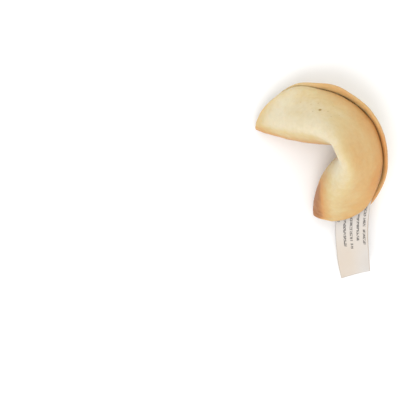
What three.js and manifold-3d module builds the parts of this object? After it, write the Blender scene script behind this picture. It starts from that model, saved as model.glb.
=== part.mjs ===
// Fortune cookie with its paper slip.
// A thin round wafer is folded loosely in half, then the fold is bent over an edge at its middle. The two
// leaves belly out to a crest beside the notch and come down to lips that almost meet. The cookie lies on
// the tips of its two arms and on the crest of its lower leaf. A strip of paper comes out between the lips.
//
// Fold frame: x runs from the notch to the middle of the rim, y along the arms, z from leaf to leaf.
import * as THREE from "three";
import { mergeVertices } from "three/addons/utils/BufferGeometryUtils.js";
import Module from "manifold-3d";

// Wafer, in millimetres and degrees.
const WAFER_THICKNESS = 2;
const RIM_THICKNESS = 1.5;
const LAST_STATION = 78; // the angle round the rim at which a leaf runs out into the tip

// Fold line, which lies in the middle plane: its middle, and the throat and tip of each arm.
const FOLD_MIDDLE_X = 3.5;
const NOTCH_HALF_WIDTH = 1.05;
const FOLD_CROWDING = 1.45; // how much closer together the wafer's strips leave the fold at the tips

// Crest line, seen square to the middle plane: the poles that it is drawn towards.
const CREST_MIDDLE = [2.65, -2.8];
const CREST_CROWDING = 0.7;
const LONG_ARM = {
  tip: [-31.8, 22.5],
  throat: [-12.3, 5.2],
  crest: [[-14.7, 19.6], [-30.6, 24.1]],
  shoulder: 18.1,
  overhangSpread: 0.13, // share of the arm over which the overhang at the notch fades
};
const SHORT_ARM = {
  tip: [-26.2, -17.1],
  throat: [-16.5, 1.95],
  crest: [[-11.5, -17.5], [-26.5, -17.7]],
  shoulder: -19.4,
  overhangSpread: 0.205,
};

// Crest, in heights above the middle plane.
const CREST_HEIGHT = 16.6;
const CREST_ROUNDING = 0.12; // share of an arm over which the crest turns at the notch
const CREST_OVERHANG = [-10, 0.4]; // how far the leaf is drawn out over the notch
const WALL_LIFT = 0.25; // extra height of the wall's pole at the notch
const SLOPE_LIFT = 1.16; // height of the slope's pole, and its gain towards the tips
const SLOPE_LIFT_GAIN = 0.3;
const SLOPE_WEIGHT = 2.1; // how fully the slope bellies out, and its loss towards the tips
const SLOPE_WEIGHT_LOSS = 1.2;

// Rim.
const RIM_CENTRE = [-16.2, 2.8];
const RIM_RADIUS = 28.3;
const UPPER_RIM_SHIFT = [-1.1, -1.4]; // the fold is a little off the wafer's middle, so the lower leaf
const LOWER_RIM_SHIFT = [0.9, 0.55]; // stands out past the upper one
const LIP_HEIGHT = 0.92; // from the middle plane to the middle of the leaf's thickness
const LIP_OPENING = 1.8; // how much further the lips part beside the tips
const LIP_OPENING_FROM = 42;
const SLIP_PARTING = 0.33; // how much further they part where the slip comes out
const SLIP_PARTING_FROM = 15; // the turn towards the short arm at which that begins, and where it is full
const SLIP_PARTING_TO = 32;
const UPPER_LIP_DROP = 1.8; // how far the upper lip sinks onto the lower leaf
const UPPER_LIP_SUNK = [-28, 0, 26, 56]; // the turns at which that begins, is full, eases and ends

// Paper slip.
const SLIP_WIDTH = 13.2;
const SLIP_THICKNESS = 0.3;
const SLIP_ROUTE = [
  [-3, -12.3],
  [-12.8, -20.6],
  [-19.1, -32.1],
  [-21.4, -44.4],
];
const SLIP_END_LIFT = 1.5;
const SLIP_END_CURL = 70; // how far its free end curls up across its width, in degrees

// How it lies.
const REST_TILT = 24.5; // its tips down and its rim up
const REST_ROLL = 1.5; // its long arm up
const HEADING = 26.95; // from +X to the middle of the rim, as seen from above
const REST_FLAT = 0.4; // depth of the flat spots worn where it rests

// Grid of the faceted shell.
const STATIONS = 46;
const STEPS = 24; // from the fold to a lip
const SLIP_STEPS = 24;
const SLIP_ROWS = 6;

const wasm = await Module();
wasm.setup();

const rad = THREE.MathUtils.degToRad;
const lastAngle = rad(LAST_STATION);

// A point of a Bezier curve through its poles, each with a weight.
function bezier(poles, t, weights = poles.map(() => 1)) {
  const degree = poles.length - 1;
  const point = new THREE.Vector3();
  let total = 0;
  let choose = 1;
  poles.forEach((pole, i) => {
    const share = choose * (1 - t) ** (degree - i) * t ** i * weights[i];
    point.addScaledVector(pole, share);
    total += share;
    choose = (choose * (degree - i)) / (i + 1);
  });
  return point.divideScalar(total);
}

// How far along its arm a strip of the wafer leaves the fold: -1 at the short arm's tip, 1 at the long one's.
function foldShare(angle) {
  return Math.sin(angle) / Math.sin(lastAngle);
}

function armOf(share) {
  return share < 0 ? SHORT_ARM : LONG_ARM;
}

// A share of an arm, with the shares near the tip drawn together.
function crowded(run, crowding) {
  return ((1 + crowding) * run) / (1 + crowding * run);
}

// A point of the fold.
function foldPoint(share) {
  const arm = armOf(share);
  const poles = [
    new THREE.Vector3(FOLD_MIDDLE_X, 0, 0),
    new THREE.Vector3(FOLD_MIDDLE_X, Math.sign(share) * NOTCH_HALF_WIDTH, 0),
    new THREE.Vector3(...arm.throat, 0),
    new THREE.Vector3(...arm.tip, 0),
  ];
  return bezier(poles, crowded(Math.abs(share), FOLD_CROWDING));
}

// The pole that a strip's crest is drawn towards, in the middle plane.
function crestPole(share) {
  const arm = armOf(share);
  const poles = [
    new THREE.Vector3(...CREST_MIDDLE, 0),
    new THREE.Vector3(CREST_MIDDLE[0], arm.shoulder, 0),
    new THREE.Vector3(...arm.crest[0], 0),
    new THREE.Vector3(...arm.crest[1], 0),
  ];
  return bezier(poles, crowded(Math.abs(share), CREST_CROWDING));
}

// Height of the middle of a leaf's thickness at its lip.
function lipHeight(angle, step) {
  const open = THREE.MathUtils.smoothstep(Math.abs(angle), rad(LIP_OPENING_FROM), lastAngle);
  const parted = THREE.MathUtils.smoothstep(-angle, rad(SLIP_PARTING_FROM), rad(SLIP_PARTING_TO));
  const height = LIP_HEIGHT + LIP_OPENING * open + SLIP_PARTING * parted;
  return step < 0 ? height : height - UPPER_LIP_DROP * lipSunk(angle);
}

// How far the upper lip has sunk at a turn, from 0 to 1.
function lipSunk(angle) {
  const [begins, full, eases, ends] = UPPER_LIP_SUNK.map(rad);
  const risen = THREE.MathUtils.smoothstep(angle, eases, ends);
  return THREE.MathUtils.smoothstep(angle, begins, full) * (1 - risen);
}

// A point of a leaf's rim: a round arc from one end of the fold to the other.
function rimPoint(angle, step) {
  const [centreX, centreY] = RIM_CENTRE;
  const [tipX, tipY] = armOf(angle).tip;
  const endTurn = Math.abs(Math.atan2(tipY - centreY, tipX - centreX));
  const endRadius = Math.hypot(tipY - centreY, tipX - centreX);
  const share = angle / (Math.PI / 2);
  const turn = share * endTurn;
  const radius = RIM_RADIUS + (endRadius - RIM_RADIUS) * share ** 4;
  const [shiftX, shiftY] = step < 0 ? LOWER_RIM_SHIFT : UPPER_RIM_SHIFT;
  const shifted = Math.cos(angle) ** 2;
  const x = centreX + radius * Math.cos(turn) + shifted * shiftX;
  const y = centreY + radius * Math.sin(turn) + shifted * shiftY;
  return new THREE.Vector3(x, y, lipHeight(angle, step));
}

// A point of the wafer's middle surface. step runs from -1, the lower lip, over 0, the fold, to 1.
function waferPoint(angle, step) {
  const share = foldShare(angle);
  const run = Math.abs(share);
  const height = CREST_HEIGHT * (1 + CREST_ROUNDING - Math.hypot(run, CREST_ROUNDING));
  const fold = foldPoint(share);
  const wall = fold.clone();
  const overhang = new THREE.Vector3(...CREST_OVERHANG, 0);
  wall.addScaledVector(overhang, Math.exp(-((run / armOf(share).overhangSpread) ** 2)));
  wall.z = height * (1 + WALL_LIFT * (1 - run) ** 3);
  const slope = crestPole(share);
  slope.z = height * (SLOPE_LIFT + SLOPE_LIFT_GAIN * run);
  const weights = [1, 1, SLOPE_WEIGHT - SLOPE_WEIGHT_LOSS * run ** 3, 1];
  const point = bezier([fold, wall, slope, rimPoint(angle, step)], Math.abs(step), weights);
  if (step < 0) point.z = -point.z;
  return point;
}

// The outward normal of the middle surface.
function waferNormal(angle, step) {
  const d = 1e-4;
  const along = waferPoint(angle + d, step).sub(waferPoint(angle - d, step));
  const across = waferPoint(angle, Math.min(1, step + d)).sub(waferPoint(angle, Math.max(-1, step - d)));
  return across.cross(along).normalize();
}

// From the fold frame to the way the cookie lies.
const lying = new THREE.Matrix4()
  .makeRotationZ(rad(HEADING))
  .multiply(new THREE.Matrix4().makeRotationX(rad(REST_ROLL)))
  .multiply(new THREE.Matrix4().makeRotationY(rad(-REST_TILT)));

// A closed thin sheet. pointOf(i, j, face) gives a corner of its grid, on the outer (1) or inner (-1) face.
function sheetGeometry(columns, rows, pointOf) {
  const positions = [];
  for (const face of [1, -1]) {
    for (let i = 0; i < columns; i++) {
      for (let j = 0; j < rows; j++) positions.push(...pointOf(i, j, face).toArray());
    }
  }
  const index = [];
  const inner = columns * rows;
  const quad = (a, b, c, d) => index.push(a, b, c, a, c, d);
  for (let i = 0; i < columns - 1; i++) {
    for (let j = 0; j < rows - 1; j++) {
      const a = i * rows + j;
      quad(a, a + 1, a + 1 + rows, a + rows);
      quad(inner + a, inner + a + rows, inner + a + 1 + rows, inner + a + 1);
    }
  }
  for (let i = 0; i < columns - 1; i++) {
    const low = i * rows;
    const high = low + rows - 1;
    quad(low, low + rows, inner + low + rows, inner + low);
    quad(high, inner + high, inner + high + rows, high + rows);
  }
  for (let j = 0; j < rows - 1; j++) {
    const last = (columns - 1) * rows + j;
    quad(j, inner + j, inner + j + 1, j + 1);
    quad(last, last + 1, inner + last + 1, inner + last);
  }
  const geometry = new THREE.BufferGeometry();
  geometry.setAttribute("position", new THREE.Float32BufferAttribute(positions, 3));
  geometry.setIndex(index);
  return geometry;
}

function cookieGeometry() {
  return sheetGeometry(STATIONS + 1, 2 * STEPS + 1, (i, j, face) => {
    const angle = lastAngle * ((2 * i) / STATIONS - 1);
    const step = j / STEPS - 1;
    const edge = Math.max(Math.abs(step), Math.abs(Math.sin(angle))) ** 6;
    const thickness = THREE.MathUtils.lerp(WAFER_THICKNESS, RIM_THICKNESS, edge);
    const point = waferPoint(angle, step);
    return point.addScaledVector(waferNormal(angle, step), (face * thickness) / 2).applyMatrix4(lying);
  });
}

function slipGeometry() {
  const poles = SLIP_ROUTE.map(([x, y]) => new THREE.Vector3(x, y, 0));
  const d = 1e-3;
  return sheetGeometry(SLIP_STEPS + 1, SLIP_ROWS + 1, (i, j, face) => {
    const t = i / SLIP_STEPS;
    const ahead = bezier(poles, t + d).sub(bezier(poles, t - d)).normalize();
    const sideways = new THREE.Vector3(-ahead.y, ahead.x, 0);
    const across = 0.5 - j / SLIP_ROWS;
    const curl = rad(SLIP_END_CURL) * t ** 4 * across;
    const point = bezier(poles, t).addScaledVector(sideways, SLIP_WIDTH * across * (1 - curl ** 2 / 6));
    point.z = SLIP_END_LIFT * t ** 4 + (SLIP_WIDTH * across * curl) / 2 + (face * SLIP_THICKNESS) / 2;
    return point.applyMatrix4(lying);
  });
}

function solidOf(geometry) {
  const bare = geometry.clone();
  bare.deleteAttribute("normal");
  bare.deleteAttribute("uv");
  const merged = mergeVertices(bare, 1e-4);
  return new wasm.Manifold(
    new wasm.Mesh({
      numProp: 3,
      vertProperties: new Float32Array(merged.attributes.position.array),
      triVerts: new Uint32Array(merged.index.array),
    }),
  );
}

function geometryOf(solid) {
  const mesh = solid.getMesh();
  const geometry = new THREE.BufferGeometry();
  geometry.setAttribute("position", new THREE.BufferAttribute(mesh.vertProperties, 3));
  geometry.setIndex(new THREE.BufferAttribute(mesh.triVerts, 1));
  return geometry;
}

// Takes off everything under the level of the surface that the cookie lies on.
function flattened(geometry, level) {
  geometry.computeBoundingBox();
  const size = geometry.boundingBox.getSize(new THREE.Vector3());
  const centre = geometry.boundingBox.getCenter(new THREE.Vector3());
  const under = new THREE.BoxGeometry(2 * size.x, 2 * size.y, 2 * size.z);
  under.translate(centre.x, centre.y, level - size.z);
  return geometryOf(solidOf(geometry).subtract(solidOf(under)));
}

function lowestOf(geometry) {
  geometry.computeBoundingBox();
  return geometry.boundingBox.min.z;
}

function cookieMesh() {
  const whole = cookieGeometry();
  const mesh = new THREE.Mesh(
    flattened(whole, lowestOf(whole) + REST_FLAT),
    new THREE.MeshStandardMaterial({ color: 0xe3c48f, roughness: 0.75, metalness: 0 }),
  );
  mesh.name = "cookie";
  return mesh;
}

function slipMesh() {
  const mesh = new THREE.Mesh(
    slipGeometry(),
    new THREE.MeshStandardMaterial({ color: 0xefe9e2, roughness: 0.85, metalness: 0 }),
  );
  mesh.name = "paper_slip";
  return mesh;
}

// Both pieces in the part's frame: the origin is under the middle of their bounding box.
function fortuneCookie() {
  const group = new THREE.Group();
  group.add(cookieMesh(), slipMesh());
  const box = new THREE.Box3().setFromObject(group);
  const middle = box.getCenter(new THREE.Vector3());
  group.children.forEach((mesh) => mesh.position.set(-middle.x, -middle.y, -box.min.z));
  return group;
}

export default fortuneCookie();
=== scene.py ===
"""Fortune cookie with its paper slip, on a plain table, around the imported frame."""

import math

import bpy
import numpy as np
from mathutils import Matrix, Vector


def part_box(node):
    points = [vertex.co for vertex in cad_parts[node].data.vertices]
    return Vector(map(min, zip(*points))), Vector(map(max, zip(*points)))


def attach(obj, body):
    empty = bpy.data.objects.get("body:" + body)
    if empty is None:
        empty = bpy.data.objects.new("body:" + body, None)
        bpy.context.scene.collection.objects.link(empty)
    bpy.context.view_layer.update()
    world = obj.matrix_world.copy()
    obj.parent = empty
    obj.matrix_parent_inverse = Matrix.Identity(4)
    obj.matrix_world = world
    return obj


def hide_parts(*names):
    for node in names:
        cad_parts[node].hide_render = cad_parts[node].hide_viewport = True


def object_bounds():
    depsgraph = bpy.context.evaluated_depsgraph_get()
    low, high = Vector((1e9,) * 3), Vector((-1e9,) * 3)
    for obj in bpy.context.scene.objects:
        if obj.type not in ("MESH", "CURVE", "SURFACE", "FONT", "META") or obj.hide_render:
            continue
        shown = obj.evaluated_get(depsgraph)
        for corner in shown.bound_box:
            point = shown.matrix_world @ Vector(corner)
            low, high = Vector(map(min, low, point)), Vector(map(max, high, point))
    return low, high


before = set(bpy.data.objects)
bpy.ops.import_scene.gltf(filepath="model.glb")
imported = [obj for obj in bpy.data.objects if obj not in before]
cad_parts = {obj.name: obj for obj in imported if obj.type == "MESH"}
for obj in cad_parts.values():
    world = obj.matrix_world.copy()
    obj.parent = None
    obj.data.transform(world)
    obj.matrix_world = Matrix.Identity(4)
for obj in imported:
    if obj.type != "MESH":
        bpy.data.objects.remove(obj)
CAD_BOX = [list(corner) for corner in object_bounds()]

bl_info = {
    "name": "Fortune Cookie",
    "version": (1, 0, 0),
    "blender": (4, 5, 0),
    "location": "View3D > Sidebar > Cookie",
    "description": "A folded fortune cookie with its paper slip on a plain pale table",
    "category": "Add Mesh",
}

MM = 0.001

# ---------------------------------------------------------------------------
# The wafer's shape, in millimetres and degrees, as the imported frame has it.
# Fold frame: x runs from the notch to the middle of the rim, y along the arms,
# z from leaf to leaf. step is -1 at the lower lip, 0 at the fold, 1 at the upper.
# ---------------------------------------------------------------------------
WAFER_RADIUS = 39.0
LAST_STATION = 78.0
FOLD_MIDDLE_X = 3.5
NOTCH_HALF_WIDTH = 1.05
FOLD_CROWDING = 1.45
CREST_MIDDLE = (2.65, -2.8)
CREST_CROWDING = 0.7
LONG_ARM = {
    "tip": (-31.8, 22.5),
    "throat": (-12.3, 5.2),
    "crest": ((-14.7, 19.6), (-30.6, 24.1)),
    "shoulder": 18.1,
    "overhang_spread": 0.13,
}
SHORT_ARM = {
    "tip": (-26.2, -17.1),
    "throat": (-16.5, 1.95),
    "crest": ((-11.5, -17.5), (-26.5, -17.7)),
    "shoulder": -19.4,
    "overhang_spread": 0.205,
}
CREST_HEIGHT = 16.6
CREST_ROUNDING = 0.12
CREST_OVERHANG = (-10.0, 0.4)
WALL_LIFT = 0.25
SLOPE_LIFT = 1.16
SLOPE_LIFT_GAIN = 0.3
SLOPE_WEIGHT = 2.1
SLOPE_WEIGHT_LOSS = 1.2
RIM_CENTRE = (-16.2, 2.8)
RIM_RADIUS = 28.3
UPPER_RIM_SHIFT = (-1.1, -1.4)
LOWER_RIM_SHIFT = (0.9, 0.55)
LIP_HEIGHT = 0.92
LIP_OPENING = 1.8
LIP_OPENING_FROM = 42.0
SLIP_PARTING = 0.33
SLIP_PARTING_FROM = 15.0
SLIP_PARTING_TO = 32.0
UPPER_LIP_DROP = 1.8
UPPER_LIP_SUNK = (-28.0, 0.0, 26.0, 56.0)
LIP_CLOSING = (
    # how much further than in the solid the upper lip sinks, and the angles at which that begins,
    # is full, eases and ends
    (0.70, (-28.0, -12.0, 15.0, 26.0)),
    (0.30, (-20.0, -8.0, 16.0, 23.0)),
    (0.60, (-2.0, 7.0, 15.0, 24.0)),
    (0.55, (16.0, 27.0, 50.0, 62.0)),
)
CREASE_ROUNDING = 0.03
EDGE_SHARPNESS = 6  # how close to its edge the wafer thins
SOLID_THICKNESS = 2.0
SOLID_RIM_THICKNESS = 1.5
SOLID_GRID = (93, 97)
NORMAL_STEP = 2e-3  # how far to both sides the slopes are taken

# How it lies.
REST_TILT = 24.5
REST_ROLL = 1.5
HEADING = 26.95
REST_FLAT = 0.4

# The slip's middle line, in the fold frame.
SLIP_WIDTH = 13.2
SLIP_ROUTE = ((-3.0, -12.3), (-12.8, -20.6), (-19.1, -32.1), (-21.4, -44.4))
SLIP_END_LIFT = 1.5
SLIP_END_CURL = math.radians(70.0)
SLIP_LENGTH = 38.5

LAST_ANGLE = math.radians(LAST_STATION)


def smoothstep(value, low, high):
    t = np.clip((value - low) / (high - low), 0.0, 1.0)
    return t * t * (3.0 - 2.0 * t)


def cubic(poles, t, weights=(1.0, 1.0, 1.0, 1.0)):
    """Points of a rational cubic through four poles. Poles and weights may be arrays."""
    parts = ((1 - t) ** 3, 3 * t * (1 - t) ** 2, 3 * t * t * (1 - t), t**3)
    shares = [part * weight for part, weight in zip(parts, weights)]
    total = sum(shares)
    drawn = sum(share[..., None] * np.asarray(pole, float) for share, pole in zip(shares, poles))
    return drawn / total[..., None]


def crowded(run, crowding):
    return (1 + crowding) * run / (1 + crowding * run)


def arm_curve(share, start, poles_of, crowding):
    """A plan curve for each arm, chosen by the sign of share. poles_of(arm, side) gives its other poles."""
    t = crowded(np.abs(share), crowding)
    curves = []
    for arm, side in ((LONG_ARM, 1.0), (SHORT_ARM, -1.0)):
        curves.append(cubic([start, *poles_of(arm, side)], t))
    return np.where((share < 0)[..., None], curves[1], curves[0])


def fold_plan(share):
    def poles_of(arm, side):
        return (FOLD_MIDDLE_X, side * NOTCH_HALF_WIDTH), arm["throat"], arm["tip"]

    return arm_curve(share, (FOLD_MIDDLE_X, 0.0), poles_of, FOLD_CROWDING)


def crest_plan(share):
    def poles_of(arm, side):
        return (CREST_MIDDLE[0], arm["shoulder"]), *arm["crest"]

    return arm_curve(share, CREST_MIDDLE, poles_of, CREST_CROWDING)


def rim_plan(angle, step):
    """The rim in plan: a round arc from one end of the fold to the other, shifted on each leaf."""
    centre = np.array(RIM_CENTRE)
    part = angle / (math.pi / 2)
    points = []
    for arm in (LONG_ARM, SHORT_ARM):
        dx, dy = np.array(arm["tip"]) - centre
        turn = part * abs(math.atan2(dy, dx))
        radius = RIM_RADIUS + (math.hypot(dx, dy) - RIM_RADIUS) * part**4
        points.append(centre + radius[..., None] * np.stack([np.cos(turn), np.sin(turn)], -1))
    shift = np.where((step < 0)[..., None], LOWER_RIM_SHIFT, UPPER_RIM_SHIFT)
    shift = shift * (np.cos(angle) ** 2)[..., None]
    return np.where((angle < 0)[..., None], points[1], points[0]) + shift


def sunk_between(angle, turns):
    begins, full, eases, ends = (math.radians(turn) for turn in turns)
    return smoothstep(angle, begins, full) * (1 - smoothstep(angle, eases, ends))


def lip_height(angle, step):
    """Height of the middle of a leaf's thickness at its lip. The upper lip sinks onto the lower leaf."""
    opened = smoothstep(np.abs(angle), math.radians(LIP_OPENING_FROM), LAST_ANGLE)
    parted = smoothstep(-angle, math.radians(SLIP_PARTING_FROM), math.radians(SLIP_PARTING_TO))
    height = LIP_HEIGHT + LIP_OPENING * opened + SLIP_PARTING * parted
    drop = UPPER_LIP_DROP * sunk_between(angle, UPPER_LIP_SUNK)
    for further, turns in LIP_CLOSING:
        drop = drop + further * sunk_between(angle, turns)
    return height - np.where(step < 0, 0, drop)


def solid_point(plan, height):
    return np.concatenate([plan, height[..., None]], -1)


def wafer_point(angle, step):
    """The wafer's middle surface, in the fold frame. angle and step are arrays of one shape."""
    share = np.sin(angle) / math.sin(LAST_ANGLE)
    run = np.abs(share)
    height = CREST_HEIGHT * (1 + CREST_ROUNDING - np.hypot(run, CREST_ROUNDING))
    fold = fold_plan(share)
    spread = np.where(share < 0, SHORT_ARM["overhang_spread"], LONG_ARM["overhang_spread"])
    wall = fold + np.exp(-((run / spread) ** 2))[..., None] * np.array(CREST_OVERHANG)
    lip = lip_height(angle, step)
    poles = [
        solid_point(fold, np.zeros_like(run)),
        solid_point(wall, height * (1 + WALL_LIFT * np.clip(1 - run, 0, None) ** 3)),
        solid_point(crest_plan(share), height * (SLOPE_LIFT + SLOPE_LIFT_GAIN * run)),
        solid_point(rim_plan(angle, step), lip),
    ]
    weights = (1.0, 1.0, SLOPE_WEIGHT - SLOPE_WEIGHT_LOSS * run**3, 1.0)
    # The crease is rounded in plan, and the height still passes through 0 at the fold.
    soft = np.hypot(step, CREASE_ROUNDING) / math.hypot(1, CREASE_ROUNDING)
    point = cubic(poles, soft, weights)
    point[..., 2] = cubic(poles, np.abs(step), weights)[..., 2]
    point[..., 2] *= np.where(step < 0, -1.0, 1.0)
    return point


def wafer_normal(angle, step):
    d = NORMAL_STEP
    along = wafer_point(angle + d, step) - wafer_point(angle - d, step)
    across = wafer_point(angle, step + d) - wafer_point(angle, step - d)
    normal = np.cross(across, along)
    return normal / np.linalg.norm(normal, axis=-1, keepdims=True)


def edge_share(angle, step):
    """How near a place is to the wafer's edge: 0 inside it, 1 at the rim and at the tips."""
    return np.maximum(np.abs(step), np.abs(np.sin(angle))) ** EDGE_SHARPNESS


def turned(axis, degrees):
    return np.array(Matrix.Rotation(math.radians(degrees), 3, axis))


LYING = turned("Z", HEADING) @ turned("X", REST_ROLL) @ turned("Y", -REST_TILT)


def cookie_offset():
    """From the fold frame, turned the way it lies, to the frame's cookie, in millimetres."""
    columns, rows = SOLID_GRID
    angle, step = np.meshgrid(
        np.linspace(-LAST_ANGLE, LAST_ANGLE, columns), np.linspace(-1.0, 1.0, rows), indexing="ij"
    )
    half = (SOLID_THICKNESS - (SOLID_THICKNESS - SOLID_RIM_THICKNESS) * edge_share(angle, step)) / 2
    outer = (wafer_point(angle, step) + wafer_normal(angle, step) * half[..., None]) @ LYING.T
    low, high = (np.array(corner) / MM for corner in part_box("cookie"))
    flat = outer.reshape(-1, 3)
    middle = (flat.min(0) + flat.max(0)) / 2
    target = (low + high) / 2
    return np.array([target[0] - middle[0], target[1] - middle[1], low[2] - REST_FLAT - flat[:, 2].min()])


# ---------------------------------------------------------------------------
# Small helpers
# ---------------------------------------------------------------------------
WAVE_SPREAD = (0.7, 1.5)  # of the wavelengths, as shares of the one asked for
WAVE_PEAK = 1.6


def waves(u, v, wavelength, seed, count=14):
    """Smooth unevenness between about -1 and 1, as a sum of random waves over the plane."""
    rng = np.random.default_rng(seed)
    total = np.zeros_like(u)
    for _ in range(count):
        heading = rng.uniform(0, 2 * math.pi)
        pitch = 2 * math.pi / (wavelength * rng.uniform(*WAVE_SPREAD))
        total += np.cos(pitch * (u * math.cos(heading) + v * math.sin(heading)) + rng.uniform(0, 2 * math.pi))
    return total / math.sqrt(count * 0.5) / WAVE_PEAK


def split_at_corner(quad, corners):
    """A corner's quad as two triangles that meet inside the sheet, so its two faces share no diagonal."""
    for place, vertex in enumerate(quad):
        if vertex in corners:
            a, b, c, d = quad[place:] + quad[:place]
            return [[a, b, c], [a, c, d]]
    return [quad]


def shut_mesh(name, outer, inner, uv, attributes=None):
    """One closed sheet whose two faces meet all round at their edges.

    outer and inner are (columns, rows, 3) in millimetres and agree along the border.
    uv is (columns, rows, 2), and each attribute holds its values for the outer and for the inner face.
    """
    columns, rows = outer.shape[:2]
    index = np.arange(columns * rows).reshape(columns, rows)
    border = np.zeros((columns, rows), bool)
    border[0] = border[-1] = True
    border[:, 0] = border[:, -1] = True
    back = np.full((columns, rows), -1)
    back[border] = index[border]
    free = ~border
    back[free] = columns * rows + np.arange(free.sum())
    vertices = np.concatenate([outer.reshape(-1, 3), inner[free]]) * MM
    near, far = slice(None, -1), slice(1, None)
    a, b, c, d = (near, near), (near, far), (far, far), (far, near)
    front_quads = np.stack([index[a], index[b], index[c], index[d]], -1).reshape(-1, 4)
    back_quads = np.stack([back[a], back[d], back[c], back[b]], -1).reshape(-1, 4)
    corners = {int(index[i, j]) for i in (0, -1) for j in (0, -1)}
    faces = []
    for quad in np.concatenate([front_quads, back_quads]).tolist():
        faces.extend(split_at_corner(quad, corners))
    mesh = bpy.data.meshes.new(name)
    mesh.from_pydata(vertices.tolist(), [], faces)
    flat_uv = uv.reshape(-1, 2)
    plan = np.concatenate([flat_uv, flat_uv[free.reshape(-1)]])
    layer = mesh.uv_layers.new(name="sheet")
    corner = np.zeros(len(mesh.loops), np.int32)
    mesh.loops.foreach_get("vertex_index", corner)
    layer.data.foreach_set("uv", plan[corner].astype(np.float32).reshape(-1))
    for label, values in (attributes or {}).items():
        flat = values[0].reshape(-1)
        other = values[1].reshape(-1)[free.reshape(-1)]
        store = mesh.attributes.new(label, "FLOAT", "POINT")
        store.data.foreach_set("value", np.concatenate([flat, other]).astype(np.float32))
    mesh.polygons.foreach_set("use_smooth", np.ones(len(mesh.polygons), bool))
    mesh.validate()
    mesh.update()
    return mesh


def placed(name, mesh, material, node):
    """A new piece that stands for a CAD node."""
    piece = bpy.data.objects.new(name, mesh)
    bpy.context.scene.collection.objects.link(piece)
    mesh.materials.append(material)
    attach(piece, "root")
    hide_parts(node)


MIX_SHARE, MIX_FIRST, MIX_SECOND, MIX_RESULT = 0, 6, 7, 2  # the Mix node's sockets for colours


class Nodes:
    """Short calls for building one node tree."""

    def __init__(self, tree):
        self.tree = tree

    def add(self, kind, inputs=None, **settings):
        node = self.tree.nodes.new(kind)
        for key, value in settings.items():
            setattr(node, key, value)
        for key, value in (inputs or {}).items():
            self.feed(node.inputs[key], value)
        return node

    def feed(self, socket, value):
        if isinstance(value, bpy.types.NodeSocket):
            self.tree.links.new(value, socket)
        else:
            socket.default_value = value

    def math(self, operation, first, second=None, clamp=False):
        node = self.add("ShaderNodeMath", operation=operation, use_clamp=clamp)
        self.feed(node.inputs[0], first)
        if second is not None:
            self.feed(node.inputs[1], second)
        return node.outputs[0]

    def ramp(self, value, low, high, to_low=0.0, to_high=1.0):
        node = self.add("ShaderNodeMapRange", interpolation_type="SMOOTHSTEP")
        sockets = ("Value", "From Min", "From Max", "To Min", "To Max")
        for key, item in zip(sockets, (value, low, high, to_low, to_high)):
            self.feed(node.inputs[key], item)
        return node.outputs["Result"]

    def mix(self, share, first, second, blend="MIX"):
        node = self.add("ShaderNodeMix", data_type="RGBA", blend_type=blend)
        self.feed(node.inputs[MIX_SHARE], share)
        self.feed(node.inputs[MIX_FIRST], first)
        self.feed(node.inputs[MIX_SECOND], second)
        return node.outputs[MIX_RESULT]

    def noise(self, vector, scale, detail=2.0, roughness=0.5):
        inputs = {"Vector": vector, "Scale": scale, "Detail": detail, "Roughness": roughness}
        return self.add("ShaderNodeTexNoise", inputs).outputs["Fac"]


def new_group(name, inputs, outputs):
    """A shader node group: inputs are (name, kind, default), outputs are (name, kind)."""
    tree = bpy.data.node_groups.new(name, "ShaderNodeTree")
    for label, kind, default in inputs:
        socket = tree.interface.new_socket(name=label, in_out="INPUT", socket_type=kind)
        if default is not None:
            socket.default_value = default
    for label, kind in outputs:
        tree.interface.new_socket(name=label, in_out="OUTPUT", socket_type=kind)
    nodes = Nodes(tree)
    return tree, nodes, nodes.add("NodeGroupInput"), nodes.add("NodeGroupOutput")


def fine_grain_group():
    """Two sizes of fine unevenness, as a height and as a shade to multiply a colour by."""
    name = "fine grain"
    if name in bpy.data.node_groups:
        return bpy.data.node_groups[name]
    tree, nodes, given, made = new_group(
        name,
        [
            ("Vector", "NodeSocketVector", None),
            ("Coarse", "NodeSocketFloat", 300.0),
            ("Fine", "NodeSocketFloat", 1500.0),
            ("Shade Amount", "NodeSocketFloat", 0.1),
        ],
        [("Height", "NodeSocketFloat"), ("Shade", "NodeSocketFloat")],
    )
    coarse = nodes.noise(given.outputs["Vector"], given.outputs["Coarse"], 3.0, 0.55)
    fine = nodes.noise(given.outputs["Vector"], given.outputs["Fine"], 2.0, 0.6)
    height = nodes.math("ADD", nodes.math("MULTIPLY", coarse, 0.65), nodes.math("MULTIPLY", fine, 0.35))
    centred = nodes.math("SUBTRACT", height, 0.5)
    shade = nodes.math("ADD", nodes.math("MULTIPLY", centred, given.outputs["Shade Amount"]), 1.0)
    nodes.feed(made.inputs["Height"], height)
    nodes.feed(made.inputs["Shade"], shade)
    return tree


def new_material(name):
    material = bpy.data.materials.new(name)
    material.use_nodes = True
    nodes = Nodes(material.node_tree)
    shader = material.node_tree.nodes["Principled BSDF"]
    return material, nodes, shader


def fine_grain(nodes, coarse, fine, shade_amount):
    """The fine grain at its place on the piece."""
    place = nodes.add("ShaderNodeTexCoord").outputs["Object"]
    grain = nodes.add("ShaderNodeGroup", node_tree=fine_grain_group())
    inputs = {"Vector": place, "Coarse": coarse, "Fine": fine, "Shade Amount": shade_amount}
    for key, value in inputs.items():
        nodes.feed(grain.inputs[key], value)
    return grain


def shaded(nodes, base, grain):
    """A colour made lighter and darker by the fine grain."""
    tone = nodes.add("ShaderNodeCombineColor")
    for channel in range(3):
        nodes.feed(tone.inputs[channel], grain.outputs["Shade"])
    return nodes.mix(1.0, base, tone.outputs[0], "MULTIPLY")


def colour(value):
    return (*value, 1.0)


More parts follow.
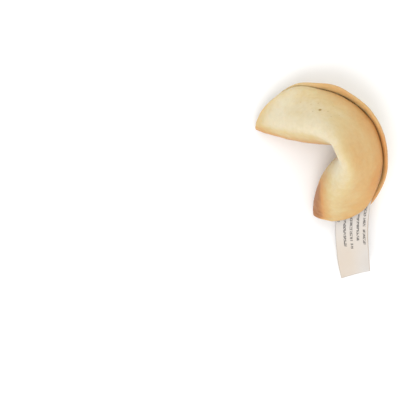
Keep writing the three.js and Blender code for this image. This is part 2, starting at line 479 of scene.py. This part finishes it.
# ---------------------------------------------------------------------------
# Settings
# ---------------------------------------------------------------------------
class WaferSettings(bpy.types.PropertyGroup):
    """The baked wafer's thickness, unevenness and colours."""

    thickness: bpy.props.FloatProperty(
        name="Thickness", description="Thickness of the wafer", default=0.002, min=0.001, unit="LENGTH"
    )
    rim_thickness: bpy.props.FloatProperty(
        name="Rim Thickness", description="Thickness of the upper leaf at its rim", default=0.0015,
        min=0.0005, unit="LENGTH",
    )
    unevenness: bpy.props.FloatProperty(
        name="Unevenness", description="Height of the wafer's slow waves", default=0.00016,
        min=0.0, unit="LENGTH",
    )
    rim_wander: bpy.props.FloatProperty(
        name="Rim Wander", description="How far the rim wanders off its true curve", default=0.00028,
        min=0.0, unit="LENGTH",
    )
    pale_colour: bpy.props.FloatVectorProperty(
        name="Pale", description="Colour where the wafer is least baked", default=(0.650, 0.578, 0.412),
        subtype="COLOR", size=3, min=0.0, max=1.0,
    )
    straw_colour: bpy.props.FloatVectorProperty(
        name="Straw", description="Colour between pale and golden", default=(0.580, 0.450, 0.228),
        subtype="COLOR", size=3, min=0.0, max=1.0,
    )
    golden_colour: bpy.props.FloatVectorProperty(
        name="Golden", description="Colour of the well baked zone beside the rim",
        default=(0.550, 0.335, 0.130), subtype="COLOR", size=3, min=0.0, max=1.0,
    )
    amber_colour: bpy.props.FloatVectorProperty(
        name="Amber", description="Colour of the baked edge", default=(0.535, 0.270, 0.090),
        subtype="COLOR", size=3, min=0.0, max=1.0,
    )
    # Brown also stands for painted shade along the long arm's fold and the short arm's side.
    brown_and_shade_colour: bpy.props.FloatVectorProperty(
        name="Brown", description="Colour of the browned tips and fold", default=(0.315, 0.128, 0.048),
        subtype="COLOR", size=3, min=0.0, max=1.0,
    )
    pore_colour: bpy.props.FloatVectorProperty(
        name="Pore", description="Colour inside a burst bubble", default=(0.33, 0.19, 0.040),
        subtype="COLOR", size=3, min=0.0, max=1.0,
    )
    stations: bpy.props.IntProperty(
        name="Stations", description="Grid columns along the fold", default=190, min=40, max=400
    )
    steps: bpy.props.IntProperty(
        name="Steps", description="Grid rows from fold to lip", default=92, min=20, max=200
    )
    seed: bpy.props.IntProperty(name="Seed", description="Which random unevenness", default=7)


class SlipSettings(bpy.types.PropertyGroup):
    """The paper slip's size and colours."""

    thickness: bpy.props.FloatProperty(
        name="Thickness", description="Thickness of the paper", default=0.00014, min=0.00005, unit="LENGTH"
    )
    paper_colour: bpy.props.FloatVectorProperty(
        name="Paper", description="Colour of the paper", default=(0.60, 0.565, 0.53),
        subtype="COLOR", size=3, min=0.0, max=1.0,
    )
    stain_colour: bpy.props.FloatVectorProperty(
        name="Stain", description="Colour of the paper where the wafer stained it",
        default=(0.575, 0.49, 0.40), subtype="COLOR", size=3, min=0.0, max=1.0,
    )
    # Painted shade along the slip's right edge.
    edge_shade_colour: bpy.props.FloatVectorProperty(
        name="Edge", description="Colour along the slip's right edge", default=(0.42, 0.30, 0.20),
        subtype="COLOR", size=3, min=0.0, max=1.0,
    )
    ink_colour: bpy.props.FloatVectorProperty(
        name="Ink", description="Colour of the printed marks", default=(0.09, 0.085, 0.08),
        subtype="COLOR", size=3, min=0.0, max=1.0,
    )


class TableSettings(bpy.types.PropertyGroup):
    """The table, the lights and the camera."""

    table_colour: bpy.props.FloatVectorProperty(
        name="Table", description="Colour of the table", default=(0.90, 0.90, 0.90),
        subtype="COLOR", size=3, min=0.0, max=1.0,
    )
    frame_width: bpy.props.FloatProperty(
        name="Frame Width", description="Width of what the camera takes in, at the cookie",
        default=0.1581, unit="LENGTH",
    )
    camera_height: bpy.props.FloatProperty(
        name="Camera Height", description="Height of the camera over the cookie", default=2.4, unit="LENGTH"
    )
    sky_strength: bpy.props.FloatProperty(
        name="Sky Strength", description="Light from all round", default=1.0, min=0.0
    )
    softbox_power: bpy.props.FloatProperty(
        name="Softbox Power", description="Power of the front softbox, of which the back one has a share",
        default=5.2, min=0.0, unit="POWER",
    )


# ---------------------------------------------------------------------------
# The cookie
# ---------------------------------------------------------------------------
# What the visual wafer has past the solid, in millimetres, and as shares where it says so.
RIM_REACH = 0.35  # how far the rim is drawn out, to make up for its rounding
RIM_RUN = 30.0  # about how long one radian of angle is along the rim
RIM_WAVES = (16.0, 13.0)  # wavelengths of the upper and of the lower rim's wander
SLOW_WAVES = (15.0, 6.0)
SHORTER_WAVE_SHARE = 0.35
SKIN_HEIGHT = 0.03
SKIN_WAVES = (1.9, 2.3)  # wavelengths of the outer and of the inner face's skin
LIP_TURNED_IN = 0.85  # share of its half thickness by which the upper lip's edge turns down
UPPER_BEVEL = 1.3  # run of the rounding at the rim, as a share of the half thickness
LOWER_BEVEL = 0.9
RADIAN_AT_TIP = 26.0  # about how long one radian of angle is along the fold, beside a tip
WORN_THICKNESS = 0.5  # what stays of the wafer, at the least, where it is worn flat
COLUMN_GATHER = 0.55
ROW_GATHER = 1.35


def grid_lines(settings):
    """The grid's angles, closer together towards the tips, and its steps, closer towards the lips."""
    t = np.linspace(-1.0, 1.0, settings.stations + 1)
    angles = LAST_ANGLE * (t + COLUMN_GATHER * np.sin(math.pi * t) / math.pi)
    leaf = 1 - (1 - np.linspace(0, 1, settings.steps + 1)) ** ROW_GATHER
    return angles, np.concatenate([-leaf[:0:-1], leaf])


def wandering_step(angle, step, settings):
    """The rim wanders a little, and differently on each leaf."""
    upper = step >= 0
    along = angle * RIM_RUN
    upper_waves, lower_waves = (
        waves(along, 0 * along, length, settings.seed + leaf) for leaf, length in enumerate(RIM_WAVES)
    )
    rim_shift = np.where(upper, upper_waves, lower_waves)
    near_rim = smoothstep(np.abs(step), 0.7, 1.0)
    upper_share = smoothstep(angle, 0.6, 1.0) + smoothstep(-angle, 0.7, 1.2)
    lower_share = 1 - smoothstep(angle, -0.2, 0.1) * (1 - smoothstep(angle, 0.5, 0.9))
    reach_share = np.where(upper, upper_share, lower_share)
    reached = near_rim * (RIM_REACH * reach_share + settings.rim_wander / MM * rim_shift)
    return step * (1 + reached / WAFER_RADIUS)


def rounded_over(distance, run):
    """A quarter round: 0 at an edge, 1 from run onwards."""
    return np.sqrt(1 - (1 - np.clip(distance / run, 0, 1)) ** 2)


def cookie_surfaces(settings):
    """Outer and inner face of the wafer in the frame, its flat layout, and how far each place is browned,
    with painted shade along the long arm's fold and the short arm's side.
    """
    angle, step = np.meshgrid(*grid_lines(settings), indexing="ij")
    upper = step >= 0

    # The flat wafer before it was folded.
    u = WAFER_RADIUS * np.sin(angle)
    v = WAFER_RADIUS * np.cos(angle) * step

    wandered = wandering_step(angle, step, settings)
    middle = wafer_point(angle, wandered)
    normal = wafer_normal(angle, wandered)
    longer, shorter = (waves(u, v, length, settings.seed + 2 + i) for i, length in enumerate(SLOW_WAVES))
    calm = 1 - smoothstep(np.abs(step), 0.93, 1.0) * 0.6
    swell = (longer + SHORTER_WAVE_SHARE * shorter) * calm
    middle = middle + normal * (settings.unevenness / MM * swell)[..., None]

    # Thickness, rounded over at the rim and at the tips. Only the upper leaf thins towards its rim.
    thinned = np.where(upper, edge_share(angle, step), 0)
    half = (settings.thickness + (settings.rim_thickness - settings.thickness) * thinned) / MM / 2
    bevel = half * np.where(upper, UPPER_BEVEL, LOWER_BEVEL)
    over_lip = rounded_over((1 - np.abs(step)) * WAFER_RADIUS * np.cos(angle), bevel)
    over_tip = rounded_over((LAST_ANGLE - np.abs(angle)) * RADIAN_AT_TIP, bevel)
    turned_in = np.where(upper, LIP_TURNED_IN * half * (1 - over_lip) * over_tip, 0)
    middle = middle - normal * turned_in[..., None]

    faces = []
    offset = cookie_offset()
    for face, (side, skin_wave) in enumerate(zip((1, -1), SKIN_WAVES)):
        skin = SKIN_HEIGHT * waves(u, v, skin_wave, settings.seed + 4 + face)
        away = (half + skin) * over_lip * over_tip
        faces.append((middle + side * normal * away[..., None]) @ LYING.T + offset)
    outer, inner = faces

    # Worn flat where it rests. The faces meet all round.
    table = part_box("cookie")[0].z / MM
    outer[..., 2] = np.maximum(outer[..., 2], table)
    inner[..., 2] = np.maximum(inner[..., 2], table + WORN_THICKNESS)
    border_mean = (outer + inner) / 2
    for line in ((0, slice(None)), (-1, slice(None)), (slice(None), 0), (slice(None), -1)):
        outer[line] = border_mean[line]
        inner[line] = border_mean[line]

    laid = WAFER_RADIUS * np.cos(angle) * length_share(middle, settings.steps)
    return outer, inner, np.stack([u, laid], -1) * MM, browning_and_painted_shade(angle, step, u, v)


def length_share(points, fold_row):
    """How far each row lies from the fold along its strip, from -1 at the lower lip to 1 at the upper one."""
    pieces = np.linalg.norm(np.diff(points, axis=1), axis=-1)
    length = np.concatenate([np.zeros_like(pieces[:, :1]), np.cumsum(pieces, axis=1)], axis=1)
    length = length - length[:, fold_row : fold_row + 1]
    return np.where(length < 0, -length / length[:, :1], length / length[:, -1:])


# Where the plate was hottest, on the flat wafer: u and v from its middle, radius, in millimetres, and
# how much browner. v is above 0 on the upper leaf and below 0 on the lower one.
HOT_SPOTS = (
    (-4, 36, 9, 0.20),
    (-2, 28, 7, 0.26),
    (6, 35, 7, 0.22),
    (-10, 32, 8, 0.26),
    (-20, 33, 7, 0.36),
    (-16, 24, 8, 0.16),
    (18, 37, 5, 0.14),
    (-27, 25, 6, 0.22),
    (-33, 18, 5, 0.12),
    (36, 5, 5, 0.22),
    (-12, -36, 12, 0.46),
    (14, -36, 9, 0.10),
    (-30, -20, 12, 0.40),
    (20, -24, 14, 0.10),
    (-14, 18, 8, 0.10),
    (2, 25, 6, 0.08),
    (-26, 17, 5, 0.16),
    (30, 19, 8, -0.14),
    (-12, 9, 5, -0.10),
)

# How far a place is baked where each colour begins to show and where it has taken over.
STRAW_BAKE = (-0.03, 0.40)
GOLDEN_BAKE = (0.30, 0.74)
AMBER_BAKE = (0.70, 1.0)
BROWN_BAKE = (0.98, 1.32)
PAST_AMBER = 0.25  # how far past 1 the baking goes at the most


def browning_and_painted_shade(angle, step, u, v):
    """How far each place is baked, from about 0 for pale to 1 for amber and past it for brown, with painted
    shade added along the long arm's fold and the short arm's side.
    """
    turn = np.degrees(angle)
    run = np.abs(step)
    reach = np.hypot(u, v) / WAFER_RADIUS
    level = 0.06 + 0.10 * smoothstep(reach, 0.55, 0.9)
    rim = 0.30 * smoothstep(reach, 0.9, 1.0) + 0.12 * smoothstep(reach, 0.975, 1.0)
    level = level + rim * (1 - 0.55 * smoothstep(turn, 25, 55))

    # The upper lip browned more than the rest of the rim, from the middle to where the slip comes out.
    lip = smoothstep(step, 0.91, 1.0) * smoothstep(turn, -52, -20) * (1 - smoothstep(turn, 8, 28))
    level = level + 0.16 * lip
    for spot_u, spot_v, radius, amount in HOT_SPOTS:
        level = level + amount * np.exp(-((u - spot_u) ** 2 + (v - spot_v) ** 2) / radius**2)

    # The side of the short arm, from the notch to its tip: browned towards the tip, and painted shade where
    # the side faces away from the light under the long arm. A thin line along the long arm's fold: a browned
    # crease, and painted shade where the wall turns away from the light.
    upto = 0.30 + 0.36 * smoothstep(-turn, 22, 72)
    # Painted shade, partly browning: the short arm's side darkened from the notch towards its tip.
    side = 1.50 * smoothstep(-turn, 9, 41) * (1 - smoothstep(run, upto - 0.22, upto + 0.24))
    side = side * (0.5 + 0.5 * smoothstep(run, 0.03, 0.22))
    # Painted shade along the long arm's fold, with a little browning of the crease.
    fold = 0.60 * (1 - smoothstep(run, 0.10, 0.34)) + 0.34 * (1 - smoothstep(run, 0.30, 0.52))
    fold = fold * smoothstep(turn, 5, 20)
    level = level + side + fold
    return np.where(level > 1, 1 + PAST_AMBER * np.tanh((level - 1) / PAST_AMBER), level)


# Burst bubbles: u and v on the flat wafer, v in true lengths along the strip, radius, and how dark.
PORES = (
    (16.0, 23.6, 0.72, 0.95),
    (17.3, 21.3, 0.32, 0.40),
    (13.7, 25.2, 0.36, 0.42),
    (11.0, 23.7, 0.34, 0.34),
    (19.2, 25.4, 0.34, 0.34),
    (20.7, 23.3, 0.30, 0.28),
    (14.6, 28.6, 0.32, 0.30),
    (10.0, 26.6, 0.30, 0.26),
)
PORE_FLOOR = 0.45  # share of a bubble's radius that is as dark as it gets
RING_PITCH = 1.7  # millimetres from ring to ring


def bake_colour(nodes, level, settings):
    """From pale through straw, golden and amber to brown."""
    shade = colour(settings.pale_colour)
    for bake, taking_over in (
        (STRAW_BAKE, settings.straw_colour),
        (GOLDEN_BAKE, settings.golden_colour),
        (AMBER_BAKE, settings.amber_colour),
        (BROWN_BAKE, settings.brown_and_shade_colour),
    ):
        shade = nodes.mix(nodes.ramp(level, *bake), shade, colour(taking_over))
    return shade


def burst_bubbles(nodes, layout):
    """One open pore and a few smaller ones beside it."""
    pore = None
    for pore_u, pore_v, radius, depth in PORES:
        centre = (pore_u * MM, pore_v * MM, 0.0)
        away = nodes.add("ShaderNodeVectorMath", {0: layout, 1: centre}, operation="DISTANCE")
        spot = nodes.ramp(away.outputs["Value"], radius * MM * PORE_FLOOR, radius * MM, depth, 0.0)
        pore = spot if pore is None else nodes.math("MAXIMUM", pore, spot)
    return pore


def freckles(nodes, layout):
    """Tiny browned pits, in patches."""
    cells = nodes.add("ShaderNodeTexVoronoi", {"Vector": layout, "Scale": 560.0}, feature="F1")
    pit = nodes.ramp(cells.outputs["Distance"], 0.05, 0.22, 1.0, 0.0)
    chosen = nodes.add("ShaderNodeSeparateColor", {"Color": cells.outputs["Color"]}).outputs[0]
    pit = nodes.math("MULTIPLY", pit, nodes.ramp(chosen, 0.60, 0.85))
    patchy = nodes.ramp(nodes.noise(layout, 70.0, 1.0), 0.45, 0.62)
    return nodes.math("MULTIPLY", pit, patchy)


def batter_rings(nodes, layout, clouds, mottle):
    """Faint rings beside the rim, where the batter spread and set."""
    flat = nodes.add("ShaderNodeVectorMath", {0: layout}, operation="LENGTH").outputs["Value"]
    bent = nodes.math("ADD", nodes.math("MULTIPLY", flat, 1.0 / MM), nodes.math("MULTIPLY", clouds, 5.0))
    ring = nodes.math("SINE", nodes.math("MULTIPLY", bent, 2 * math.pi / RING_PITCH))
    ring = nodes.math("MULTIPLY", ring, nodes.ramp(flat, 0.027, 0.036))
    return nodes.math("MULTIPLY", ring, nodes.ramp(mottle, 0.35, 0.65))


def wafer_material(settings):
    """Baked dough, from pale to brown, with burst bubbles, freckles and faint rings, and painted shade along
    the long arm's fold and the short arm's side.
    """
    material, nodes, shader = new_material("baked wafer")
    layout = nodes.add("ShaderNodeUVMap", uv_map="sheet").outputs["UV"]
    # The browned attribute holds the bake level and the painted shade along the fold and the short arm's
    # side.
    baked = nodes.add("ShaderNodeAttribute", attribute_name="browned").outputs["Fac"]

    # Bake level, with its painted shade along the fold and the short arm's side, broken up by clouds of two
    # sizes.
    clouds = nodes.noise(layout, 90.0, 3.0, 0.55)
    mottle = nodes.noise(layout, 420.0, 3.0, 0.6)
    level = baked
    for noise, share in ((clouds, 0.34), (mottle, 0.24)):
        uneven = nodes.math("MULTIPLY", nodes.math("SUBTRACT", noise, 0.5), share)
        level = nodes.math("ADD", level, uneven)

    pore = burst_bubbles(nodes, layout)
    pit = freckles(nodes, layout)
    grain = fine_grain(nodes, 700.0, 2600.0, 0.20)
    shade = bake_colour(nodes, level, settings)
    shade = nodes.mix(pore, shade, colour(settings.pore_colour))
    shade = nodes.mix(nodes.math("MULTIPLY", pit, 0.55), shade, colour(settings.golden_colour))
    nodes.feed(shader.inputs["Base Color"], shaded(nodes, shade, grain))

    nodes.feed(shader.inputs["Roughness"], nodes.ramp(mottle, 0.3, 0.7, 0.44, 0.60))
    shader.inputs["IOR"].default_value = 1.42
    shader.inputs["Subsurface Weight"].default_value = 0.35
    shader.inputs["Subsurface Radius"].default_value = (0.0020, 0.0012, 0.0007)
    shader.inputs["Subsurface Scale"].default_value = 1.0

    bubbles = nodes.noise(layout, 260.0, 2.0, 0.5)
    height = nodes.math("MULTIPLY", bubbles, 0.8)
    for operation, relief, depth in (
        ("ADD", grain.outputs["Height"], 0.5),
        ("SUBTRACT", pit, 0.5),
        ("SUBTRACT", pore, 2.0),
        ("ADD", batter_rings(nodes, layout, clouds, mottle), 0.22),
    ):
        height = nodes.math(operation, height, nodes.math("MULTIPLY", relief, depth))
    bump = nodes.add("ShaderNodeBump", {"Height": height, "Strength": 0.5, "Distance": 0.00014})
    nodes.feed(shader.inputs["Normal"], bump.outputs["Normal"])
    return material


class COOKIE_OT_wafer(bpy.types.Operator):
    """Make the folded wafer, with its rounded rim, its baked colours and painted shade along its fold"""

    bl_idname = "fortune_cookie.wafer"
    bl_label = "Folded Wafer"

    def execute(self, context):
        settings = context.scene.wafer_settings
        # browned carries the bake level and the painted shade along the fold and the short arm's side.
        outer, inner, layout, browned = cookie_surfaces(settings)
        mesh = shut_mesh("folded_wafer", outer, inner, layout, {"browned": (browned, browned)})
        placed("folded_wafer", mesh, wafer_material(settings), "cookie")
        return {"FINISHED"}


# ---------------------------------------------------------------------------
# The slip
# ---------------------------------------------------------------------------
SLIP_GRID = (121, 41)
SLIP_STEP = 1e-3  # how far to both sides its heading is taken
SLIP_RIPPLE = 0.22
SLIP_RIPPLE_WAVE = 13.0
SLIP_SEED = 31


def slip_surfaces(settings):
    """Upper and lower face of the slip, curled up across its free end, and its flat layout."""
    columns, rows = SLIP_GRID
    t, s = np.meshgrid(np.linspace(0, 1, columns), np.linspace(-0.5, 0.5, rows), indexing="ij")
    plan = cubic(SLIP_ROUTE, t)
    ahead = cubic(SLIP_ROUTE, t + SLIP_STEP) - cubic(SLIP_ROUTE, t - SLIP_STEP)
    ahead = ahead / np.linalg.norm(ahead, axis=-1, keepdims=True)
    sideways = np.stack([-ahead[..., 1], ahead[..., 0]], -1)
    curl = SLIP_END_CURL * t**4 * s
    plan = plan - sideways * (s * SLIP_WIDTH * (1 - curl**2 / 6))[..., None]
    free = smoothstep(t, 0.45, 1.0)
    ripple = SLIP_RIPPLE * free * waves(t * SLIP_LENGTH, s * SLIP_WIDTH, SLIP_RIPPLE_WAVE, SLIP_SEED)
    lift = SLIP_END_LIFT * t**4 + SLIP_WIDTH * s * curl / 2 + ripple
    middle = solid_point(plan, lift)
    offset = cookie_offset()
    half = np.zeros_like(t)
    half[1:-1, 1:-1] = settings.thickness / MM / 2
    up = np.array([0.0, 0.0, 1.0]) * half[..., None]
    outer = (middle + up) @ LYING.T + offset
    inner = (middle - up) @ LYING.T + offset
    return outer, inner, np.stack([t * SLIP_LENGTH, s * SLIP_WIDTH], -1) * MM


# Rows of marks: distance from the slip's middle line, start and end along the slip, in millimetres.
PRINT_LINES = (
    (-5.0, 10.0, 27.0),
    (-2.4, 12.0, 25.5),
    (0.3, 13.5, 28.5),
    (2.9, 14.5, 27.5),
    (5.4, 15.5, 18.5),
)
LETTER_HEIGHT = (0.42, 0.62)  # from a row's middle line to where the ink begins to fade and has gone
ROW_SHIFT = 40.0  # how far apart in the noise two rows are, so that no two have the same words
WORD_SCALE = 0.42
STROKE_SCALE = 1.7


def printed_marks(nodes, layout):
    """Generic marks in place of words: rows of short uneven strokes."""
    split = nodes.add("ShaderNodeSeparateXYZ", {"Vector": layout})
    run = nodes.math("MULTIPLY", split.outputs["X"], 1 / MM)
    side = nodes.math("MULTIPLY", split.outputs["Y"], 1 / MM)
    ink = None
    for row, (centre, start, end) in enumerate(PRINT_LINES):
        shift = ROW_SHIFT * (row + 1)
        off = nodes.math("ABSOLUTE", nodes.math("SUBTRACT", side, centre))
        band = nodes.ramp(off, *LETTER_HEIGHT, 1.0, 0.0)
        begun = nodes.ramp(run, start, start + 0.2)
        ended = nodes.ramp(run, end, end + 0.2, 1.0, 0.0)
        where = nodes.add("ShaderNodeCombineXYZ", {"X": run, "Y": shift}).outputs[0]
        words = nodes.ramp(nodes.noise(where, WORD_SCALE, 0.0), 0.30, 0.33)
        crossing = nodes.math("ADD", side, shift)
        fine = nodes.add("ShaderNodeCombineXYZ", {"X": run, "Y": crossing}).outputs[0]
        strokes = nodes.ramp(nodes.noise(fine, STROKE_SCALE, 1.0), 0.42, 0.50)
        line = band
        for share in (begun, ended, words, strokes):
            line = nodes.math("MULTIPLY", line, share)
        ink = line if ink is None else nodes.math("MAXIMUM", ink, line)
    return ink


def slip_material(settings):
    """Matt paper with rows of marks, stained by the wafer, with painted shade along its right edge."""
    material, nodes, shader = new_material("slip paper")
    layout = nodes.add("ShaderNodeUVMap", uv_map="sheet").outputs["UV"]
    split = nodes.add("ShaderNodeSeparateXYZ", {"Vector": layout})
    run, side = split.outputs["X"], split.outputs["Y"]
    grain = fine_grain(nodes, 900.0, 5200.0, 0.07)

    # Stains in clouds, and the paper darker and warmer towards the left of the free end. Painted shade along
    # the right edge.
    clouds = nodes.ramp(nodes.noise(layout, 60.0, 2.0), 0.35, 0.7, 0.0, 0.30)
    # Darker and warmer towards the left of the free end.
    to_end = nodes.ramp(run, 0.020, 0.034)
    to_left = nodes.ramp(side, -0.004, 0.003)
    to_corner = nodes.math("MULTIPLY", nodes.math("MULTIPLY", to_end, to_left), 0.7)
    stains_and_darkening = nodes.math("ADD", clouds, to_corner, clamp=True)
    paper = nodes.mix(stains_and_darkening, colour(settings.paper_colour), colour(settings.stain_colour))
    # Painted shade: a thin brown line along the slip's right edge, from partway along to the free end.
    edge = nodes.ramp(side, -0.0066, -0.0061, 1.0, 0.0)
    edge = nodes.math("MULTIPLY", edge, nodes.ramp(run, 0.012, 0.018))
    paper = nodes.mix(nodes.math("MULTIPLY", edge, 0.7), paper, colour(settings.edge_shade_colour))

    paper = shaded(nodes, paper, grain)
    ink = nodes.math("MULTIPLY", printed_marks(nodes, layout), 0.82)
    paper = nodes.mix(ink, paper, colour(settings.ink_colour))
    nodes.feed(shader.inputs["Base Color"], paper)
    nodes.feed(shader.inputs["Roughness"], nodes.ramp(grain.outputs["Height"], 0.3, 0.7, 0.72, 0.86))
    shader.inputs["IOR"].default_value = 1.45
    relief = {"Height": grain.outputs["Height"], "Strength": 0.2, "Distance": 0.00005}
    bump = nodes.add("ShaderNodeBump", relief)
    nodes.feed(shader.inputs["Normal"], bump.outputs["Normal"])
    return material


class COOKIE_OT_slip(bpy.types.Operator):
    """Make the curled paper slip with its rows of generic printed marks"""

    bl_idname = "fortune_cookie.slip"
    bl_label = "Paper Slip"

    def execute(self, context):
        settings = context.scene.slip_settings
        outer, inner, layout = slip_surfaces(settings)
        mesh = shut_mesh("printed_slip", outer, inner, layout)
        placed("printed_slip", mesh, slip_material(settings), "paper_slip")
        return {"FINISHED"}


# ---------------------------------------------------------------------------
# Table, lights and camera
# ---------------------------------------------------------------------------
CAMERA_AIM = (-54.9, -23.5)  # millimetres from the fold frame's origin, along the table
CAMERA_AIM_HEIGHT = 0.013
TABLE_REACH = 2.5
SOFTBOX_SIZE = 0.7
FRONT_SOFTBOX = (-0.12, -0.56, 1.05)
BACK_SOFTBOX = (0.30, 0.40, 1.05)
BACK_SOFTBOX_SHARE = 0.3


def table_material(settings):
    material, nodes, shader = new_material("matt table")
    grain = fine_grain(nodes, 60.0, 700.0, 0.02)
    nodes.feed(shader.inputs["Base Color"], shaded(nodes, colour(settings.table_colour), grain))
    shader.inputs["Roughness"].default_value = 0.9
    return material


def make_table(settings):
    corners = [(x * TABLE_REACH, y * TABLE_REACH, 0) for x, y in ((-1, -1), (1, -1), (1, 1), (-1, 1))]
    mesh = bpy.data.meshes.new("table_top")
    mesh.from_pydata(corners, [], [(0, 1, 2, 3)])
    mesh.materials.append(table_material(settings))
    table = bpy.data.objects.new("table_top", mesh)
    table.location.z = CAD_BOX[0][2]
    bpy.context.scene.collection.objects.link(table)


def make_softbox(name, location, power):
    """A round softbox that faces the cookie."""
    light = bpy.data.lights.new(name, "AREA")
    light.shape = "DISK"
    light.size = SOFTBOX_SIZE
    light.energy = power
    box = bpy.data.objects.new(name, light)
    box.location = location
    box.rotation_euler = (-Vector(location)).to_track_quat("-Z", "Y").to_euler()
    bpy.context.scene.collection.objects.link(box)


def make_camera(settings):
    """A camera that looks straight down from far above, so that little is foreshortened."""
    offset = cookie_offset()
    across, along = (np.array(CAMERA_AIM) + offset[:2]) * MM
    aim = Vector((across, along, CAMERA_AIM_HEIGHT))
    data = bpy.data.cameras.new("camera")
    data.sensor_width = 36.0
    data.lens = data.sensor_width * settings.camera_height / settings.frame_width
    data.clip_end = 20.0
    camera = bpy.data.objects.new("camera", data)
    camera.location = aim + Vector((0, 0, settings.camera_height))
    bpy.context.scene.collection.objects.link(camera)
    bpy.context.scene.camera = camera


class COOKIE_OT_stage(bpy.types.Operator):
    """Make the plain table, the soft lights and the camera that looks straight down"""

    bl_idname = "fortune_cookie.stage"
    bl_label = "Table And Lights"

    def execute(self, context):
        settings = context.scene.table_settings
        make_table(settings)
        make_softbox("front softbox", FRONT_SOFTBOX, settings.softbox_power)
        make_softbox("back softbox", BACK_SOFTBOX, settings.softbox_power * BACK_SOFTBOX_SHARE)
        world = bpy.data.worlds.new("studio")
        world.use_nodes = True
        sky = world.node_tree.nodes["Background"]
        sky.inputs["Color"].default_value = (1, 1, 1, 1)
        sky.inputs["Strength"].default_value = settings.sky_strength
        context.scene.world = world
        context.scene.view_settings.view_transform = "Standard"
        make_camera(settings)
        return {"FINISHED"}


class COOKIE_PT_sidebar(bpy.types.Panel):
    """Lists the cookie's pieces and settings"""

    bl_idname = "COOKIE_PT_sidebar"
    bl_label = "Fortune Cookie"
    bl_space_type = "VIEW_3D"
    bl_region_type = "UI"
    bl_category = "Cookie"

    def draw(self, context):
        for operator, name in (
            (COOKIE_OT_wafer, "wafer_settings"),
            (COOKIE_OT_slip, "slip_settings"),
            (COOKIE_OT_stage, "table_settings"),
        ):
            settings = getattr(context.scene, name)
            box = self.layout.box()
            box.operator(operator.bl_idname)
            for key in settings.__annotations__:
                box.prop(settings, key)


CLASSES = (
    WaferSettings,
    SlipSettings,
    TableSettings,
    COOKIE_OT_wafer,
    COOKIE_OT_slip,
    COOKIE_OT_stage,
    COOKIE_PT_sidebar,
)
SETTINGS = {"wafer_settings": WaferSettings, "slip_settings": SlipSettings, "table_settings": TableSettings}


def register():
    for each in CLASSES:
        bpy.utils.register_class(each)
    for name, kind in SETTINGS.items():
        setattr(bpy.types.Scene, name, bpy.props.PointerProperty(type=kind))


def unregister():
    for name in SETTINGS:
        delattr(bpy.types.Scene, name)
    for each in reversed(CLASSES):
        bpy.utils.unregister_class(each)


def main():
    register()
    bpy.ops.fortune_cookie.wafer()
    bpy.ops.fortune_cookie.slip()
    bpy.ops.fortune_cookie.stage()


if __name__ == "__main__":
    main()
